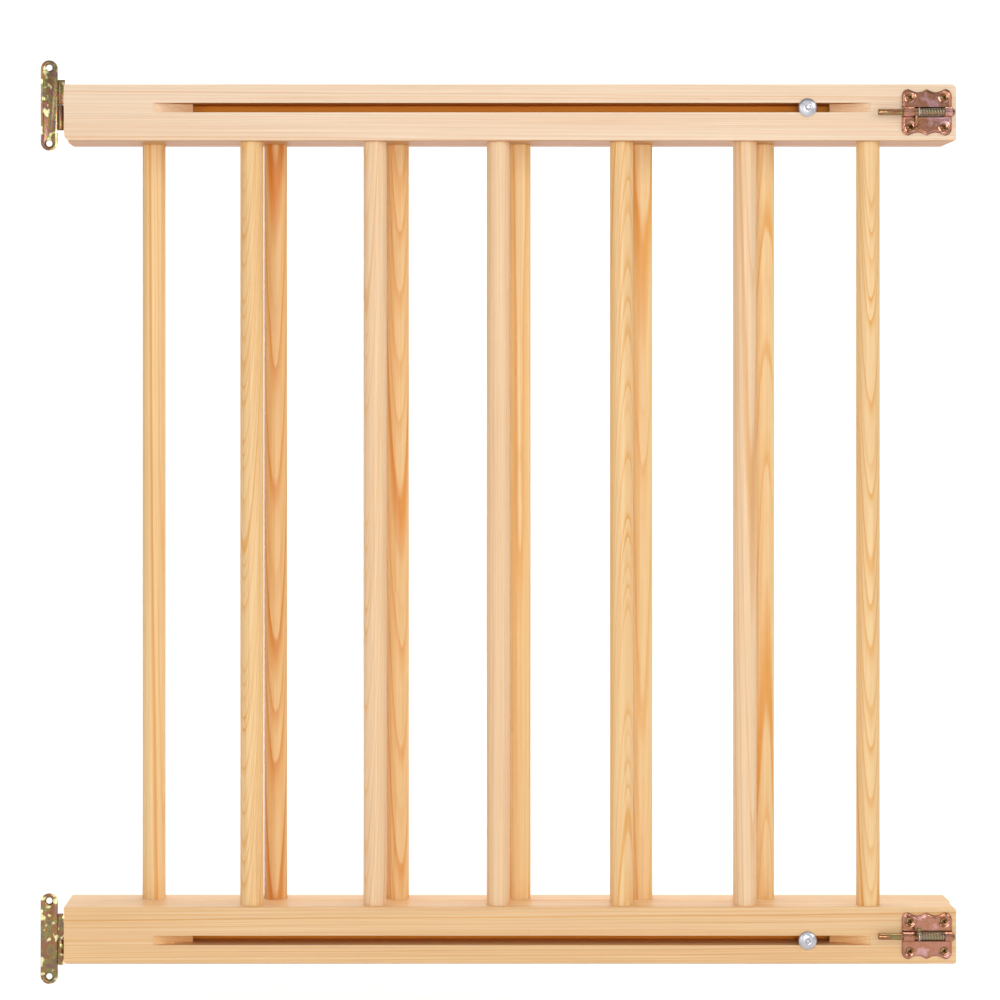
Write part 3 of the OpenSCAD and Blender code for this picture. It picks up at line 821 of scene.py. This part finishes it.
def latch_plate(side):
    """The pressed plate: a grid of sections with the window left out, thickened and drilled."""
    node = f"{side}_latch_plate"
    low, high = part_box(node)
    where = placed(((low.x + high.x) / 2, high.y, (low.z + high.z) / 2), (0, -1, 0), (1, 0, 0))
    start = PLATE_W / 2 - LOBE_R
    lobe = [start + LOBE_R * math.sin(math.radians(t)) for t in range(0, 91, 6)]
    middle = [start * k / 22 for k in range(22)]
    columns = sorted({round(s * c, 6) for c in middle + lobe for s in (-1, 1)} | set(WINDOW))
    verts, faces = [], []
    for x in columns:
        section = plate_section(x)
        across = [(-z, h) for z, h in section[:0:-1]] + section
        verts += [where @ Vector((x, z, h)) for z, h in across]
    rows = len(across)
    crown = rows // 2
    for i in range(len(columns) - 1):
        inside = columns[i] >= WINDOW[0] - 1e-6 and columns[i + 1] <= WINDOW[1] + 1e-6
        for j in range(rows - 1):
            if inside and crown - WINDOW_ROWS <= j < crown + WINDOW_ROWS:
                continue
            a = i * rows + j
            faces.append([a, a + 1, a + rows + 1, a + rows])
    obj = mesh_object(f"{node}_detail", verts, faces)
    facing = sum(face.normal.y * face.area for face in obj.data.polygons)
    if facing > 0:
        obj.data.flip_normals()
    mod = obj.modifiers.new("sheet", "SOLIDIFY")
    mod.thickness, mod.offset, mod.use_even_offset = (FLANGE - 0.05) * MM, -1, False
    bake_modifiers(obj)
    hole = [(-2, 0), (-2, 1.9), (0.2, 1.9), (FLANGE, 3.05), (3, 3.05), (3, 0)]
    cutters = [turned_object("drill", hole, spot, 32) for spot in latch_screw_places(side, 0)]
    combine(obj, cutters, "DIFFERENCE")
    finish_piece(obj, plate_metal, "front_panel", [node], 50)


def latch_screw_places(side, height):
    """Frames of a plate's four screws, at a height above the rail's face."""
    low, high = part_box(f"{side}_latch_plate")
    mid_x, mid_z = (low.x + high.x) / 2, (low.z + high.z) / 2
    return [placed((mid_x + sx * SCREW_GRID[0] * MM, high.y - height * MM,
                    mid_z + sz * SCREW_GRID[1] * MM), (0, -1, 0), (1, 0, 0))
            for sx in (-1, 1) for sz in (-1, 1)]


def rod_end(node):
    """Middle of a rod's left end, and its length in millimetres."""
    low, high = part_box(node)
    return Vector((low.x, (low.y + high.y) / 2, (low.z + high.z) / 2)), (high.x - low.x) / MM


def latch_rod(side):
    """The sliding bolt: a round rod with rounded ends."""
    node = f"{side}_latch_rod"
    origin, length = rod_end(node)
    nose = [(0, 0), (0, 1.7), (0.12, 2.1), (0.38, 2.4), (0.8, ROD_R)]
    rings = nose + [(10, ROD_R), (length - 10, ROD_R)]
    rings += [(length - z, r) for z, r in nose[::-1]]
    obj = turned_object(f"{node}_detail", rings, placed(origin, (1, 0, 0), (0, -1, 0)), 48)
    finish_piece(obj, rod_metal, f"{side}_bolt", [node])


def latch_handle(side, up):
    """A stem with a collar and a ball, up degrees above straight out of the front."""
    node = f"{side}_latch_handle"
    low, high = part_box(node)
    origin, _ = rod_end(f"{side}_latch_rod")
    turn = math.radians(up)
    where = placed(((low.x + high.x) / 2, origin.y, origin.z),
                   (0, -math.cos(turn), math.sin(turn)), (1, 0, 0))
    ball, reach = 2.0, 13.2  # the ball's radius, and the height of its middle
    rings = [(0.5, 0), (0.5, 1.48), (9.0, 1.4), (9.6, 1.42), (9.8, 1.75), (10.4, 1.8)]
    rings += [(reach - ball * math.cos(math.radians(t)), ball * math.sin(math.radians(t)))
              for t in range(42, 180, 9)] + [(reach + ball, 0)]
    obj = turned_object(f"{node}_detail", rings, where, 40)
    finish_piece(obj, rod_metal, f"{side}_bolt", [node])


def latch_washer(side):
    """The washer that the spring pushes against."""
    node = f"{side}_latch_washer"
    origin, t = rod_end(node)
    rim, bore = WASHER_R, ROD_R + 0.06
    rings = [(0.1, bore), (0, bore + 0.1), (0, rim - 0.1), (0.1, rim), (t - 0.1, rim),
             (t, rim - 0.1), (t, bore + 0.1), (t - 0.1, bore), (0.1, bore)]
    obj = turned_object(f"{node}_detail", rings, placed(origin, (1, 0, 0), (0, -1, 0)), 40)
    finish_piece(obj, zinc, f"{side}_latch_slider", [node])


def latch_spring(side):
    """A closed-end coil of round wire, built at one length; the real spring shortens as the bolt is
    pushed out.
    """
    node = f"{side}_latch_spring"
    origin, length = rod_end(node)
    where = placed(origin, (1, 0, 0), (0, -1, 0))
    wire, radius, turns, steps, sides = 0.65, 2.98, 10, 28, 10
    pitch = (length - 3 * wire) / (turns - 2)  # the end turns lie closed
    verts, faces = [], []
    for k in range(turns * steps + 1):
        turn = k / steps
        rise = min(turn, 1) * wire + max(min(turn - 1, turns - 2), 0) * pitch
        rise += max(turn - turns + 1, 0) * wire + wire / 2
        a = 2 * math.pi * turn
        for s in range(sides):
            b = 2 * math.pi * s / sides
            out = radius + wire / 2 * math.cos(b)
            verts.append((out * math.cos(a), out * math.sin(a), rise + wire / 2 * math.sin(b)))
    for k in range(turns * steps):
        for s in range(sides):
            a, b = k * sides + s, k * sides + (s + 1) % sides
            faces.append((a, a + sides, b + sides, b))
    last = turns * steps * sides
    faces += [tuple(range(sides)), tuple(range(last + sides - 1, last - 1, -1))]
    obj = mesh_object(f"{node}_detail", [where @ Vector(v) for v in verts], faces)
    finish_piece(obj, spring_metal, "front_panel", [node])
    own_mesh(obj)


for side, up in (("upper", -90), ("lower", 38)):
    latch_plate(side)
    screw_group(f"{side}_latch_screws", latch_screw_places(side, FLANGE), 11.5, "front_panel")
    latch_rod(side)
    latch_handle(side, up)
    latch_washer(side)
    latch_spring(side)


# ---------------------------------------------------------------- studio

def sweep():
    """A pale floor that curves up into a backdrop."""
    floor_z = cad_box[0].z - 0.06
    front, back, radius, height, half = -3.2, 4.6, 1.0, 5.0, 6.0
    line = [(front, floor_z), (-0.6, floor_z)]
    line += arc(back - radius, floor_z + radius, radius, -90, 0, 16) + [(back, height)]
    verts = [(x, y, z) for x in (-half, half) for y, z in line]
    n = len(line)
    obj = mesh_object("studio_sweep", verts, [[k, k + 1, n + k + 1, n + k] for k in range(n - 1)])
    obj.data.shade_smooth()
    material, _, bsdf = shader("studio_paper")
    bsdf.inputs["Base Color"].default_value = (0.97, 0.97, 0.97, 1)
    bsdf.inputs["Roughness"].default_value = 0.9
    bsdf.inputs["Specular IOR Level"].default_value = 0.1
    obj.data.materials.append(material)


def softbox(name, place, aim, size, power):
    """A rectangular lamp, aimed at a point; its power is in watts."""
    data = bpy.data.lights.new(name, "AREA")
    data.shape, data.size, data.size_y, data.energy = "RECTANGLE", size[0], size[1], power
    lamp = bpy.data.objects.new(name, data)
    lamp.location = place
    lamp.rotation_euler = (Vector(aim) - Vector(place)).to_track_quat("-Z", "Y").to_euler()
    bpy.context.scene.collection.objects.link(lamp)


def studio_world():
    """Soft light from all round, brightest at the horizon, for the metals to reflect."""
    world = bpy.data.worlds.new("studio")
    bpy.context.scene.world = world
    world.use_nodes = True
    tree = world.node_tree
    direction = add(tree, "ShaderNodeTexCoord").outputs["Generated"]
    height = add(tree, "ShaderNodeSeparateXYZ", {0: direction}).outputs["Z"]
    level = calc(tree, "MULTIPLY_ADD", height, 0.5, 0.5)
    sky = ramp(tree, level, [(0.0, (0.30, 0.25, 0.20)), (0.38, (0.85, 0.83, 0.80)),
                             (0.5, (1.0, 1.0, 1.0)), (0.62, (0.95, 0.95, 0.95)),
                             (0.8, (0.55, 0.55, 0.55)), (1.0, (0.5, 0.5, 0.5))])
    tree.links.new(sky, tree.nodes["Background"].inputs["Color"])
    tree.nodes["Background"].inputs["Strength"].default_value = 0.41


def camera():
    """Level camera, square on to the gate, above its middle and left of it. The shifts set
    the gate in the frame as the photo has it."""
    data = bpy.data.cameras.new("camera")
    data.lens, data.sensor_width = 90, 36
    data.shift_x, data.shift_y = 0.0904, -0.1111
    obj = bpy.data.objects.new("camera", data)
    obj.location = (0.295, -2.0475, 0.450)
    obj.rotation_euler = (math.radians(90), 0, 0)
    bpy.context.scene.collection.objects.link(obj)
    bpy.context.scene.camera = obj


sweep()
studio_world()
middle = (cad_box[0] + cad_box[1]) / 2
softbox("key_light", (middle.x + 0.1, -2.5, 0.5), middle, (0.9, 0.6), 16)
softbox("left_light", (middle.x - 1.9, -2.3, middle.z + 0.5), middle, (1.2, 2.0), 12)
softbox("right_light", (middle.x + 2.2, -1.6, middle.z + 1.2), middle, (1.0, 1.4), 16)
softbox("top_light", (middle.x, -2.0, middle.z + 2.1), middle, (2.4, 1.0), 8)
softbox("backdrop_light", (middle.x, 0.8, middle.z + 3.0), (middle.x, 4.6, middle.z),
        (4.0, 1.0), 170)
camera()
bpy.context.scene.view_settings.view_transform = "Standard"
